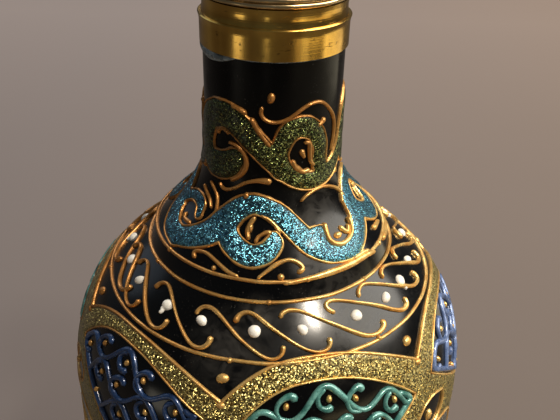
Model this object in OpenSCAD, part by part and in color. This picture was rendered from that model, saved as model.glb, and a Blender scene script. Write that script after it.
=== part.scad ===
// Genie bottle: a black glass bell bottle with a glued brass collar
// and a screw-on brass stopper. Millimetres, +Z up, resting face at Z = 0.

/* [Glass neck and flare] */
// Outside diameter of the straight neck
neck_d = 45.8; // [38:0.1:56]
// Straight neck below the collar
neck_h = 35.2; // [20:0.1:60]
// Radius of the flare under the neck
flare_r = 29.4; // [15:0.1:36]
// Diameter of the moulded disc where the flare ends
disc_d = 82.6; // [72:0.1:100]
// Height of the step below the disc's edge
step_h = 5.9; // [3:0.1:9]
// How far the step leans outwards
step_out = 2.8; // [1:0.1:5]

/* [Glass body] */
// Height of the domed shoulder
shoulder_h = 58.2; // [45:0.1:75]
// Diameter of the body under the shoulder
body_d = 150.4; // [130:0.1:190]
// Height of the wall between shoulder and heel
wall_h = 86; // [50:0.1:120]
// Diameter at the widest place, just above the heel
foot_d = 164; // [140:0.1:200]
// Height of the rounded heel
heel_h = 20; // [12:0.1:28]
// Width of the rounded heel, from the wall to the resting ring
heel_w = 14; // [8:0.1:20]
// Width of the flat ring the bottle rests on
rest_w = 8; // [4:0.1:14]
// Height of the hollow under the base
punt_h = 7; // [3:0.1:12]
// Thickness of the glass wall
glass_t = 3.4; // [2.4:0.1:4.5]
// Thickness of the glass floor
floor_t = 7; // [4:0.1:10]

/* [Brass collar] */
// Height of the collar's skirt, up to its lip
collar_h = 9.4; // [7:0.1:14]
// Thickness of the collar's skirt
collar_t = 0.65; // [0.5:0.05:1.5]
// Thickness of the cement between glass and collar
cement_t = 0.2; // [0.1:0.05:0.8]
// Height of the fillet of cement under the collar
cement_fillet = 0.5; // [0.2:0.1:2]
// How far the lip turns out past the skirt
lip_out = 0.45; // [0.3:0.05:1.5]
// Height of the smooth recessed band above the lip
recess_h = 5.3; // [3:0.1:8]
// Height of the threaded tube above the recessed band
tube_h = 10.2; // [8:0.1:16]
// Thickness of the threaded tube
tube_t = 1.2; // [0.8:0.05:2]

/* [Thread] */
// Rise of the thread in one turn
thread_pitch = 3; // [2.4:0.1:4]
// Height of a thread ridge
thread_depth = 0.7; // [0.5:0.05:0.8]
// Free space between the collar's ridges and the cap's bore
thread_gap = 0.4; // [0.3:0.05:0.5]
// Turns of thread on the collar
collar_turns = 2; // [1.5:0.1:2.2]
// Turns of thread inside the cap
cap_turns = 1.6; // [1:0.1:1.8]

/* [Screw cap] */
// Thickness of the cap's skirt at the bottom of the knurl
cap_t = 1.1; // [0.9:0.05:2]
// Thickness of the cap's top plate
plate_t = 2.4; // [1.6:0.1:4]
// Thickness of the sealing ring
seal_t = 2; // [1:0.1:3]
// Height of a knurl tooth
knurl_h = 0.4; // [0.2:0.05:0.6]
// Number of knurl teeth round the cap
knurl_n = 150; // [60:1:180]
// Diameter of the two round beads under the knurl
bead_d = 1.5; // [1:0.1:2.4]

/* [Stopper] */
// Widest diameter of the onion dome
dome_d = 57; // [50:0.1:70]
// Height of the onion dome
dome_h = 44; // [34:0.1:60]
// Thickness of the dome's sheet brass
dome_t = 0.9; // [0.6:0.05:1.5]
// Diameter of the ball of the finial
ball_d = 13; // [10:0.1:18]
// Height of the turned spool under the ball
spool_h = 12; // [8:0.1:18]
// Height of the finial's pointed tip
tip_h = 17; // [12:0.1:26]
// Diameter of the tie rod
rod_d = 4; // [3:0.1:5]
// Thickness of the nut on the tie rod
nut_h = 3.2; // [2.4:0.1:5]

/* [Raised ornament] */
// Width of the raised gold ring lines
line_w = 1.5; // [0.8:0.1:2.5]
// Distance of the border's lower ring line below the step
border_drop = 12.1; // [8:0.1:20]
// Distance of the white dots below the step
white_drop = 5.4; // [3:0.1:9]
// Diameter of the white dots
white_d = 4.4; // [2:0.1:5]
// Number of white dots round the shoulder
white_n = 21; // [12:1:30]
// Distance of the gold dots below the step
gold_drop = 16.4; // [12:0.1:26]
// Diameter of the gold dots
gold_d = 4.2; // [2:0.1:6]
// Number of gold dots, one over each fork of the arches
gold_n = 6; // [4:1:10]
// Height of the upper ring line of the foot border
foot_line_upper = 46; // [36:0.1:60]
// Height of the lower ring line of the foot border
foot_line_lower = 26; // [20:0.1:32]
// How far a dot stands proud of the glass
dot_proud = 1.2; // [0.6:0.1:2]

/* [Hidden] */
$fn = 96;
eps = 0.01;

// Radii and heights worked out from the sizes above
neck_r = neck_d/2;
disc_r = disc_d/2;
body_r = body_d/2;
foot_r = foot_d/2;
flare_angle = 45;
flare_end_r = neck_r + flare_r*(1 - cos(flare_angle));
cone_h = disc_r - flare_end_r;
z_heel = heel_h;
z_wall = z_heel + wall_h;
z_step = z_wall + shoulder_h;
z_disc = z_step + step_h;
z_flare = z_disc + cone_h;
z_neck = z_flare + flare_r*sin(flare_angle);
z_seat = z_neck + neck_h;

// Heights on the collar, the cap and the stopper
flange_t = 1.6;
rim_drop = 0.8;
cap_gap = 0.3;
thread_lead = 2.2;
z_lip = z_seat + collar_h;
z_rim = z_lip - rim_drop;
z_shelf = z_lip + recess_h;
z_tube = z_shelf + tube_h;
z_plate = z_tube + seal_t;
z_dome = z_plate + plate_t;
z_ring = z_dome + dome_h;
knurl_z = z_shelf + cap_gap + 2.2*bead_d;
knurl_top = z_plate - 0.6;

// Radii on the collar and the cap
chamfer = 0.3;
lip_step = 0.6;
shelf_w = 2;
skirt_in = neck_r + cement_t;
skirt_r = skirt_in + collar_t;
bore_r = neck_r - glass_t;
recess_r = skirt_r - lip_step;
tube_r = recess_r - shelf_w;
crest_r = tube_r + thread_depth;
cap_bore = crest_r + thread_gap;
cap_r = cap_bore + cap_t;
bead_r = cap_r - knurl_h;
core_r = bead_r - 0.15;
spigot_h = 1.2;
fit_gap = 0.1;

// Radii on the tie rod
rod_r = rod_d/2;
rod_hole = rod_r + 0.15;
rod_end = 1.5;
nut_r = rod_d*1.02;
washer_t = 1;

// Points of a circular arc from angle a0 to angle a1 in n steps
function arc(cx, cz, r, a0, a1, n) =
    [for (i = [0:n]) let (a = a0 + (a1 - a0)*i/n) [cx + r*cos(a), cz + r*sin(a)]];

// One point of a cubic curve with end points p and s and handles q and h
function cubic(p, q, h, s, t) =
    pow(1 - t, 3)*p + 3*t*pow(1 - t, 2)*q + 3*t*t*(1 - t)*h + pow(t, 3)*s;

// The curve's direction at t
function cubic_dir(p, q, h, s, t) =
    3*pow(1 - t, 2)*(q - p) + 6*t*(1 - t)*(h - q) + 3*t*t*(s - h);

// n + 1 points of that curve, moved sideways into the glass by d
function curve(p, q, h, s, n, d = 0) =
    [for (i = [0:n]) let (t = i/n, v = cubic_dir(p, q, h, s, t), u = v/norm(v))
        cubic(p, q, h, s, t) + d*[u[1], -u[0]]];

function reversed(list) = [for (i = [len(list) - 1:-1:0]) list[i]];

// Outline of the glass. The shoulder is a cubic curve that leaves the step at
// shoulder_angle below the level, and the wall is one that widens to the foot.
shoulder_angle = 39.2;
shoulder_steps = 26;
wall_steps = 12;
shoulder_p = [disc_r + step_out, z_step];
shoulder_q = shoulder_p + 0.26*shoulder_h*[cos(shoulder_angle), -sin(shoulder_angle)];
shoulder_h2 = [body_r, z_wall + 0.675*shoulder_h];
shoulder_s = [body_r, z_wall];
wall_q = [body_r, z_wall - wall_h/3];
wall_h2 = [foot_r - 0.05*wall_h, z_heel + wall_h/3];
wall_s = [foot_r, z_heel];
rest_r = foot_r - heel_w;
punt_r = rest_r - rest_w;

// A quarter of an ellipse, from the wall's foot to the resting ring
function heel(r, z0, w, h, n) =
    [for (i = [1:n]) let (a = 90*i/n) [r - w + w*cos(a), z0 + h - h*sin(a)]];

// The hollow under the base, and the glass floor above it
function punt(r, h, z0, n) = [for (i = [0:n]) let (k = i/n) [r*(1 - k), z0 + h*(1 - pow(1 - k, 2))]];

shoulder_outer = curve(shoulder_p, shoulder_q, shoulder_h2, shoulder_s, shoulder_steps);
wall_outer = curve(shoulder_s, wall_q, wall_h2, wall_s, wall_steps);
rim_round = 0.9;
glass_outer = concat(
    [[bore_r + rim_round, z_rim]],
    arc(neck_r - rim_round, z_rim - rim_round, rim_round, 90, 0, 5),
    arc(neck_r + flare_r, z_neck, flare_r, 180, 180 + flare_angle, 14),
    [[disc_r, z_disc]],
    shoulder_outer,
    [for (i = [1:wall_steps]) wall_outer[i]],
    heel(foot_r, 0, heel_w, heel_h, 12),
    punt(punt_r, punt_h, 0, 10));

cone_dir = [cos(flare_angle), sin(flare_angle)];
shoulder_inner = curve(shoulder_p, shoulder_q, shoulder_h2, shoulder_s, shoulder_steps, glass_t);
wall_inner = curve(shoulder_s, wall_q, wall_h2, wall_s, wall_steps, glass_t);
glass_inner = concat(
    [[bore_r, z_rim - rim_round]],
    arc(neck_r + flare_r, z_neck, flare_r + glass_t, 180, 180 + flare_angle, 14),
    [[disc_r, z_disc] - glass_t*cone_dir],
    shoulder_inner,
    [for (i = [1:wall_steps - 1]) wall_inner[i]],
    [[foot_r - glass_t, z_heel]],
    heel(foot_r - glass_t, floor_t, heel_w, heel_h - floor_t, 10),
    punt(punt_r, punt_h, floor_t, 10));

// The glass body's outer form as a solid, for cutting what lies on it
module glass_form() {
    rotate_extrude() polygon(concat([[0, z_rim]], glass_outer));
}

// Radius of the outside at a height, on the shoulder and on the wall
shoulder_table = reversed([for (p = shoulder_outer) [p[1], p[0]]]);
wall_table = reversed([for (p = wall_outer) [p[1], p[0]]]);
function shoulder_radius(z) = lookup(z, shoulder_table);
function wall_radius(z) = lookup(z, wall_table);

module glass_vessel() {
    color([0.05, 0.05, 0.06])
        rotate_extrude() polygon(concat(glass_outer, reversed(glass_inner)));
}

// The lip swells out over the top of the skirt, and the recess is a shallow hollow
lip_h = 2.6;
recess_dip = 0.35;
module neck_collar() {
    color([0.80, 0.62, 0.22]) union() {
        rotate_extrude() polygon(concat(
            [[skirt_in, z_seat], [skirt_r, z_seat], [skirt_r, z_lip - lip_h]],
            [for (i = [1:6]) let (k = i/6)
                [skirt_r + lip_out*pow(k, 1.6), z_lip - lip_h + (lip_h - chamfer)*k]],
            [[skirt_r + lip_out - chamfer, z_lip]],
            [for (i = [0:8]) let (k = i/8)
                [recess_r - recess_dip*sin(180*k), z_lip + recess_h*k]],
            [[tube_r, z_shelf], [tube_r, z_tube - chamfer], [tube_r - chamfer, z_tube],
             [tube_r - tube_t, z_tube], [tube_r - tube_t, z_rim + flange_t],
             [bore_r, z_rim + flange_t], [bore_r, z_rim], [skirt_in, z_rim]]));
        thread(z_shelf + thread_lead, collar_turns, tube_r, crest_r);
    }
}

// A ridge wound along a helix: it stands from radius root to radius top, is
// sunk past its root for a sound joint, and fades out at both ends. Its half
// widths at root and crest are shares of its height.
root_share = 0.85;
crest_share = 0.3;
module thread(z0, turns, root, top) {
    steps = 24;
    sunk = 0.45;
    n = round(turns*steps);
    side = sign(top - root);
    function height(i) = min(1, 0.15 + 0.85*min(i, n - i)/3);
    points = [for (i = [0:n]) let (a = 360*i/steps, z = z0 + thread_pitch*i/steps,
            crest = root + (top - root)*height(i), base = root - side*sunk)
        each [for (p = [[base, -root_share], [crest, -crest_share], [crest, crest_share],
                [base, root_share]])
            [p[0]*cos(a), p[0]*sin(a), z + p[1]*thread_depth]]];
    sides = [for (i = [0:n - 1], j = [0:3]) let (a = 4*i + j, b = 4*i + (j + 1)%4)
        each [[a, b, b + 4], [a, b + 4, a + 4]]];
    first = [[0, 3, 2], [0, 2, 1]];
    last = [[4*n, 4*n + 1, 4*n + 2], [4*n, 4*n + 2, 4*n + 3]];
    faces = concat(sides, first, last);
    polyhedron(points, side < 0 ? [for (f = faces) [f[2], f[1], f[0]]] : faces);
}

// The cement fills the space under the collar and stands out below it as a fillet
module collar_cement() {
    color([0.75, 0.78, 0.80, 0.6])
        rotate_extrude() polygon([
            [neck_r, z_seat - cement_fillet], [skirt_r - 0.1, z_seat], [skirt_in, z_seat],
            [skirt_in, z_rim - rim_round], [neck_r, z_rim - rim_round]]);
}

// A gold line of paste round the glass, where radius r and height z lie on it
module ring_line(r, z) {
    rotate_extrude() translate([r, z]) circle(d = line_w, $fn = 20);
}

module disc_line() {
    color([0.85, 0.60, 0.20]) difference() { ring_line(disc_r, z_disc); glass_form(); }
}

module step_line() {
    color([0.85, 0.60, 0.20]) difference() {
        ring_line(disc_r + step_out, z_step);
        glass_form();
    }
}

// The border's lower line stands on the shoulder's face with a flat side
module border_line() {
    z = z_step - border_drop;
    color([0.85, 0.60, 0.20]) rotate_extrude() translate([shoulder_radius(z), z])
        rotate(shoulder_lean(z)) polygon(arc(0, 0, line_w/2, -90, 90, 10));
}

module foot_lines() {
    color([0.85, 0.60, 0.20]) difference() {
        for (z = [foot_line_upper, foot_line_lower]) ring_line(wall_radius(z), z);
        glass_form();
    }
}

// Round dots of paste on the shoulder, at equal angles but for the few degrees that
// a hand strays. Each is the cap of a ball: a flat circle of diameter d that lies on
// the glass and stands dot_proud out of it
module dots(n, first, d, z, strays = [0]) {
    ball = (d*d/4 + dot_proud*dot_proud)/(2*dot_proud);
    lean = shoulder_lean(z);
    for (i = [0:n - 1]) rotate(first + 360*i/n + strays[i%len(strays)])
        translate([shoulder_radius(z), 0, z]) rotate([0, 90 - lean, 0]) intersection() {
            translate([0, 0, dot_proud - ball]) sphere(r = ball);
            cylinder(r = d, h = 2*dot_proud);
        }
}

// Angle between the level and the outward normal of the shoulder's face at a height
function shoulder_lean(z) = let (a = shoulder_radius(z - eps), b = shoulder_radius(z + eps))
    atan2(a - b, 2*eps);

// How far each white dot strays along the row, in degrees
white_strays = [0, -0.3, 4.3, 3.2, -1.2, -3.1, 0.5, 1, -1, 0.4, -0.8, 1.2, 0, -1.4, 0.6, 1, -0.5,
    -1, -3.2, -1, -2.3];
white_first = -90 - 4.7;
gold_first = -90 - 12.6;
module white_dots() {
    color([0.92, 0.90, 0.84]) dots(white_n, white_first, white_d, z_step - white_drop,
        white_strays);
}

module gold_dots() {
    color([0.85, 0.60, 0.20]) dots(gold_n, gold_first, gold_d, z_step - gold_drop);
}

// The rubber ring that the cap presses on the collar's rim
module cap_seal() {
    color([0.12, 0.12, 0.12]) rotate_extrude()
        translate([tube_r - tube_t, z_tube]) square([crest_r - tube_r + tube_t, seal_t]);
}

// The turned cap: two round beads at its lower edge, a knurled grip and a plate
module stopper_cap() {
    bead_z = z_shelf + cap_gap + bead_d/2;
    color([0.86, 0.74, 0.45]) union() {
        difference() {
            union() {
                translate([0, 0, z_shelf + cap_gap])
                    cylinder(r = core_r, h = z_dome - z_shelf - cap_gap);
                for (z = [bead_z, bead_z + 1.1*bead_d, knurl_top + 0.6*bead_d])
                    rotate_extrude() translate([bead_r, z]) circle(d = bead_d, $fn = 24);
                knurl();
                translate([0, 0, z_dome - 1])
                    cylinder(r = dome_base - dome_t - fit_gap, h = spigot_h + 1);
            }
            translate([0, 0, z_shelf]) cylinder(r = cap_bore, h = z_plate - z_shelf);
            translate([0, 0, z_plate - 1]) cylinder(r = rod_hole, h = plate_t + spigot_h + 2);
        }
        thread(z_shelf + thread_lead + thread_pitch/2, cap_turns, cap_bore, tube_r + thread_gap);
    }
}

// Straight knurling: a ring of pointed teeth round the cap
module knurl() {
    points = [for (i = [0:2*knurl_n - 1]) let (a = 180*i/knurl_n, r = cap_r - knurl_h*(i%2))
        [r*cos(a), r*sin(a)]];
    translate([0, 0, knurl_z]) linear_extrude(knurl_top - knurl_z) polygon(points);
}

module rod_washer() {
    color([0.70, 0.70, 0.72]) translate([0, 0, z_plate - washer_t]) difference() {
        cylinder(r = nut_r*1.15, h = washer_t);
        translate([0, 0, -1]) cylinder(r = rod_hole, h = washer_t + 2);
    }
}

module rod_nut() {
    color([0.70, 0.70, 0.72]) translate([0, 0, z_plate - washer_t - nut_h]) difference() {
        cylinder(r = nut_r, h = nut_h, $fn = 6);
        translate([0, 0, -1]) cylinder(r = rod_r, h = nut_h + 2);
    }
}

// The finial's pieces stand on one another on the dome's top
ring_h = 3.4;
z_spool = z_ring + ring_h;
z_ball = z_spool + spool_h;
seat_w = 3.4;
ball_sink = ball_d/2 - sqrt(ball_d*ball_d/4 - seat_w*seat_w);
z_tip = z_ball + ball_d - 2*ball_sink;
rod_top = z_tip + tip_h*0.45;

module tie_rod() {
    color([0.70, 0.70, 0.72])
        translate([0, 0, z_plate - washer_t - nut_h - rod_end])
        cylinder(r = rod_r, h = rod_top - (z_plate - washer_t - nut_h - rod_end));
}

// The onion dome is spun sheet: the outline swells from the cap, then draws in
// to a slim neck with a flat top that carries the finial
dome_base = bead_r - 0.6;
dome_neck = 4.6;
dome_widest = 0.36*dome_h;
function dome_outline(d) = concat(
    curve([dome_base, 0], [dome_base + 0.7*(dome_d/2 - dome_base), 0.05*dome_h],
        [dome_d/2, 0.18*dome_h], [dome_d/2, dome_widest], 10, d),
    [for (p = curve([dome_d/2, dome_widest], [dome_d/2, 0.62*dome_h],
        [dome_neck, 0.60*dome_h], [dome_neck, dome_h], 18, d)) if (p[1] > dome_widest + eps) p]);
module stopper_dome() {
    inner = [for (p = dome_outline(-dome_t)) if (p[1] > chamfer && p[1] < dome_h - dome_t) p];
    color([0.80, 0.62, 0.22]) translate([0, 0, z_dome]) rotate_extrude() polygon(concat(
        dome_outline(0), [[rod_hole, dome_h], [rod_hole, dome_h - dome_t]],
        reversed(inner), [[dome_base - dome_t, 0]]));
}

module dome_ring() {
    color([0.86, 0.74, 0.45]) translate([0, 0, z_ring]) rotate_extrude() polygon(concat(
        [[rod_hole, 0], [dome_neck, 0]],
        arc(dome_neck + 0.4, ring_h/2, ring_h/2, -90, 90, 10),
        [[rod_hole, ring_h]]));
}

// A turned spool: wide at both ends and slim at its waist
module finial_spool() {
    end_r = dome_neck;
    waist = rod_hole + 0.9;
    color([0.80, 0.62, 0.22]) translate([0, 0, z_spool]) rotate_extrude() polygon(concat(
        [[rod_hole, 0], [end_r, 0], [end_r, 1]],
        [for (i = [1:11]) let (k = i/12)
            [waist + (end_r - waist)*pow(cos(180*k), 2)*(k < 0.5 ? 1 : 0.8), 1 + (spool_h - 2)*k]],
        [[seat_w + 0.4, spool_h - 1], [seat_w + 0.4, spool_h], [rod_hole, spool_h]]));
}

module finial_ball() {
    color([0.86, 0.74, 0.45]) translate([0, 0, z_ball]) difference() {
        intersection() {
            translate([0, 0, ball_d/2 - ball_sink]) sphere(d = ball_d);
            cylinder(d = ball_d + 2, h = ball_d - 2*ball_sink);
        }
        translate([0, 0, -1]) cylinder(r = rod_hole, h = ball_d + 2);
    }
}

// A drop with a pointed end, bored from below for the rod's threaded end
module finial_tip() {
    color([0.80, 0.62, 0.22]) translate([0, 0, z_tip]) difference() {
        rotate_extrude() polygon(concat(
            [[0, 0], [seat_w + 0.6, 0], [seat_w + 0.6, 0.9], [seat_w, 1.2]],
            curve([seat_w, 1.2], [seat_w + 2.6, 0.35*tip_h], [0.9, 0.55*tip_h],
                [0.5, tip_h - 0.4], 14),
            [[0, tip_h]]));
        translate([0, 0, -1]) cylinder(r = rod_r, h = rod_top - z_tip + 1);
    }
}

glass_vessel();
neck_collar();
collar_cement();
disc_line();
step_line();
border_line();
foot_lines();
white_dots();
gold_dots();
cap_seal();
stopper_cap();
rod_washer();
rod_nut();
tie_rod();
stopper_dome();
dome_ring();
finial_spool();
finial_ball();
finial_tip();
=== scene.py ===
"""Looks of the genie bottle: smooth black glass with raised paste ornament, brass collar and stopper."""
import bpy
import math
import numpy as np
from mathutils import Matrix, Vector


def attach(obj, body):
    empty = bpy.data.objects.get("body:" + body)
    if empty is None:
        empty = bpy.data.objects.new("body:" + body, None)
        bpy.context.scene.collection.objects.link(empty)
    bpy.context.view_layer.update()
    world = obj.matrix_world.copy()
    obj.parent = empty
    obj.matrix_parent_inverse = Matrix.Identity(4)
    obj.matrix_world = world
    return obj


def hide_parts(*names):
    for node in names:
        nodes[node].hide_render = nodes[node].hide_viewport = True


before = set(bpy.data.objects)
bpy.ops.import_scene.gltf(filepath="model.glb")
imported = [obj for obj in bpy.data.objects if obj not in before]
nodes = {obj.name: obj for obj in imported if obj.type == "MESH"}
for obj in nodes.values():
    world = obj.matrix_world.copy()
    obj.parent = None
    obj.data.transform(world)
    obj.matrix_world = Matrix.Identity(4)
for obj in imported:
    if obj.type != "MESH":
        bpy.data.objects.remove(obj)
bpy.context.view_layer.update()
MM = 0.001

# Sizes of the glass in millimetres, as in the model's source
NECK_R, NECK_H, FLARE_R, DISC_R = 22.9, 35.2, 29.4, 41.3
STEP_H, STEP_OUT, SHOULDER_H, BODY_R = 5.9, 2.8, 58.2, 75.2
WALL_H, FOOT_R, HEEL_H, HEEL_W = 86.0, 82.0, 20.0, 14.0
REST_W, PUNT_H, GLASS_T, FLOOR_T = 8.0, 7.0, 3.4, 7.0
Z_WALL = HEEL_H + WALL_H
Z_STEP = Z_WALL + SHOULDER_H
Z_DISC = Z_STEP + STEP_H
FLARE_END = NECK_R + FLARE_R*(1 - math.cos(math.radians(45)))
Z_FLARE = Z_DISC + DISC_R - FLARE_END
Z_NECK = Z_FLARE + FLARE_R*math.sin(math.radians(45))
Z_SEAT = Z_NECK + NECK_H
Z_RIM = Z_SEAT + 8.6
RIM_ROUND = 0.9


def cubic(p, q, h, s, n):
    """n + 1 points of a cubic curve with end points p and s and handles q and h."""
    t = np.linspace(0, 1, n + 1)[:, None]
    p, q, h, s = (np.array(v, float) for v in (p, q, h, s))
    return (1 - t)**3*p + 3*t*(1 - t)**2*q + 3*t*t*(1 - t)*h + t**3*s


def arc(cx, cz, r, a0, a1, n):
    """n + 1 points of a circular arc."""
    a = np.radians(np.linspace(a0, a1, n + 1))
    return np.stack([cx + r*np.cos(a), cz + r*np.sin(a)], 1)


def rounded(points, k, r, n=6):
    """The outline with its corner k turned into a small curve that starts r before it."""
    a, b, c = points[k - 1], points[k], points[k + 1]
    u = (a - b)/np.linalg.norm(a - b)
    v = (c - b)/np.linalg.norm(c - b)
    t = np.linspace(0, 1, n + 1)[:, None]
    curve = (1 - t)**2*(b + r*u) + 2*t*(1 - t)*b + t*t*(b + r*v)
    return np.concatenate([points[:k], curve, points[k + 1:]])


def inset(points, d):
    """A downward outline moved d into the glass, square to itself."""
    step = np.gradient(points, axis=0)
    step /= np.linalg.norm(step, axis=1)[:, None]
    return points + d*np.stack([step[:, 1], -step[:, 0]], 1)


LEAN = math.radians(39.2)
STEP_FOOT = np.array([DISC_R + STEP_OUT, Z_STEP])
SHOULDER = cubic(STEP_FOOT, STEP_FOOT + 0.26*SHOULDER_H*np.array([math.cos(LEAN), -math.sin(LEAN)]),
                 (BODY_R, Z_WALL + 0.675*SHOULDER_H), (BODY_R, Z_WALL), 90)
WALL = cubic((BODY_R, Z_WALL), (BODY_R, Z_WALL - WALL_H/3),
             (FOOT_R - 0.05*WALL_H, HEEL_H + WALL_H/3), (FOOT_R, HEEL_H), 60)


def glass_outline():
    """Outline (radius, height) of the glass from under the collar down to the middle of the base."""
    h = np.radians(np.linspace(0, 90, 21))[1:]
    heel = np.stack([FOOT_R - HEEL_W + HEEL_W*np.cos(h), HEEL_H - HEEL_H*np.sin(h)], 1)
    k = np.linspace(0, 1, 21)
    punt = np.stack([(FOOT_R - HEEL_W - REST_W)*(1 - k), PUNT_H*(1 - (1 - k)**2)], 1)
    top = np.array([[NECK_R, z] for z in np.linspace(Z_RIM - RIM_ROUND, Z_NECK, 30)])
    line = np.concatenate([top, arc(NECK_R + FLARE_R, Z_NECK, FLARE_R, 180, 225, 30)[1:],
                           [[DISC_R, Z_DISC]], SHOULDER, WALL[1:], heel, punt])
    k = len(top) + 30
    line = rounded(line, k + 1, 0.5)
    return rounded(line, k, 0.6)


def inner_outline():
    """Outline of the inside, from the rim down to the middle of the glass floor: the outside moved in by the
    glass's thickness, a heel of a quarter ellipse, and a floor that rises over the hollow base."""
    throat = NECK_R - GLASS_T
    h = np.radians(np.linspace(0, 90, 16))[1:]
    heel = np.stack([FOOT_R - GLASS_T - HEEL_W + HEEL_W*np.cos(h),
                     HEEL_H - (HEEL_H - FLOOR_T)*np.sin(h)], 1)
    k = np.linspace(0, 1, 12)
    floor = np.stack([(FOOT_R - HEEL_W - REST_W)*(1 - k), FLOOR_T + PUNT_H*(1 - (1 - k)**2)], 1)
    half = GLASS_T*math.sqrt(0.5)
    return np.concatenate([[[throat, Z_RIM - RIM_ROUND]],
                           arc(NECK_R + FLARE_R, Z_NECK, FLARE_R + GLASS_T, 180, 225, 20),
                           [[DISC_R - half, Z_DISC - half]], inset(SHOULDER, GLASS_T)[1::3],
                           inset(WALL, GLASS_T)[3::3], heel, floor])


OUTLINE = glass_outline()
_step = np.linalg.norm(np.diff(OUTLINE, axis=0), axis=1)
_run = np.concatenate([[0], np.cumsum(_step)])
S_SEAT = np.interp(-Z_SEAT, -OUTLINE[:30, 1], _run[:30])
RUN = _run - S_SEAT
SIDE = 30 + 30 + 14 + 90 + 60 + 1


def down(z):
    """Distance down the outline from the collar to height z on the outside."""
    return float(np.interp(-z, -OUTLINE[:SIDE, 1], RUN[:SIDE]))


def radius(s):
    """Radius of the glass s mm down its outline."""
    return np.interp(s, RUN, OUTLINE[:, 0])


def on_glass(theta, s, h=0.0):
    """Points on the glass at angle theta in degrees from the front, s mm down the outline from the
    collar, standing h mm out of it."""
    theta, s, h = np.broadcast_arrays(np.radians(theta), s, h)
    r, z = radius(s), np.interp(s, RUN, OUTLINE[:, 1])
    d = 0.6
    dr = radius(s + d) - radius(s - d)
    dz = np.interp(s + d, RUN, OUTLINE[:, 1]) - np.interp(s - d, RUN, OUTLINE[:, 1])
    size = np.hypot(dr, dz)
    r = r - h*dz/size
    z = z + h*dr/size
    return np.stack([r*np.sin(theta), -r*np.cos(theta), z], -1)


def mesh_piece(name, points, faces, material, body="bottle"):
    """A smooth mesh object from points in mm, at the origin, riding on a body."""
    mesh = bpy.data.meshes.new(name)
    mesh.from_pydata((np.asarray(points)*MM).tolist(), [], faces if isinstance(faces, list) else faces.tolist())
    mesh.materials.append(material)
    mesh.shade_smooth()
    obj = bpy.data.objects.new(name, mesh)
    bpy.context.scene.collection.objects.link(obj)
    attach(obj, body)
    return obj


def grid_faces(n, m, start=0, wrap_n=False, wrap_m=False):
    """Quads of an n by m grid of points whose first index is start."""
    i, j = np.meshgrid(np.arange(n if wrap_n else n - 1), np.arange(m if wrap_m else m - 1), indexing="ij")
    a = i*m + j
    b = i*m + (j + 1) % m
    c = ((i + 1) % n)*m + (j + 1) % m
    d = ((i + 1) % n)*m + j
    return np.stack([a, b, c, d], -1).reshape(-1, 4) + start


def turned(name, line, material, n=240):
    """A closed surface of revolution: each point (radius, height) of the outline is carried round the axis in n
    steps. The outline starts and ends on the axis, and runs anticlockwise seen with the axis at its left."""
    a = np.linspace(0, 2*np.pi, n, endpoint=False)
    r, z = line[1:-1, 0], line[1:-1, 1]
    p = np.stack([r[:, None]*np.cos(a), r[:, None]*np.sin(a), np.repeat(z[:, None], n, 1)], -1).reshape(-1, 3)
    p = np.concatenate([p, [[0, 0, line[0, 1]], [0, 0, line[-1, 1]]]])
    k, first, last = np.arange(n), len(p) - 2, len(p) - 1
    after, top = (k + 1) % n, (len(r) - 1)*n
    faces = grid_faces(len(r), n, wrap_m=True).tolist()
    faces += np.stack([after, k, np.full(n, first)], 1).tolist()
    faces += np.stack([top + k, top + after, np.full(n, last)], 1).tolist()
    return mesh_piece(name, p, faces, material)


RNG = np.random.default_rng(7)


def hand(t, amp, waves=4):
    """Unsteadiness of a hand: a sum of a few slow sine waves of random phase over t (0 to 1), amp high."""
    k = np.arange(1, waves + 1)
    phase = RNG.uniform(0, 2*np.pi, waves)
    share = RNG.uniform(0.4, 1.0, waves)/np.sqrt(k)
    return amp*np.sum(share*np.sin(2*np.pi*np.outer(t, k) + phase), 1)/waves**0.5


def along(values, share):
    """Values given at equal distances along a path, read at the shares of its length."""
    return np.interp(share, np.linspace(0, 1, np.size(values)), np.atleast_1d(values))


def spline(points, n=60):
    """n points of a Catmull-Rom curve through the given points."""
    p = np.array(points, float)
    p = np.concatenate([[2*p[0] - p[1]], p, [2*p[-1] - p[-2]]])
    u = np.linspace(0, len(points) - 1 - 1e-9, n)
    k = u.astype(int)
    t = (u - k)[:, None]
    a, b, c, d = p[k], p[k + 1], p[k + 2], p[k + 3]
    return 0.5*(2*b + (c - a)*t + (2*a - 5*b + 4*c - d)*t*t + (3*b - a - 3*c + d)*t**3)


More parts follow.
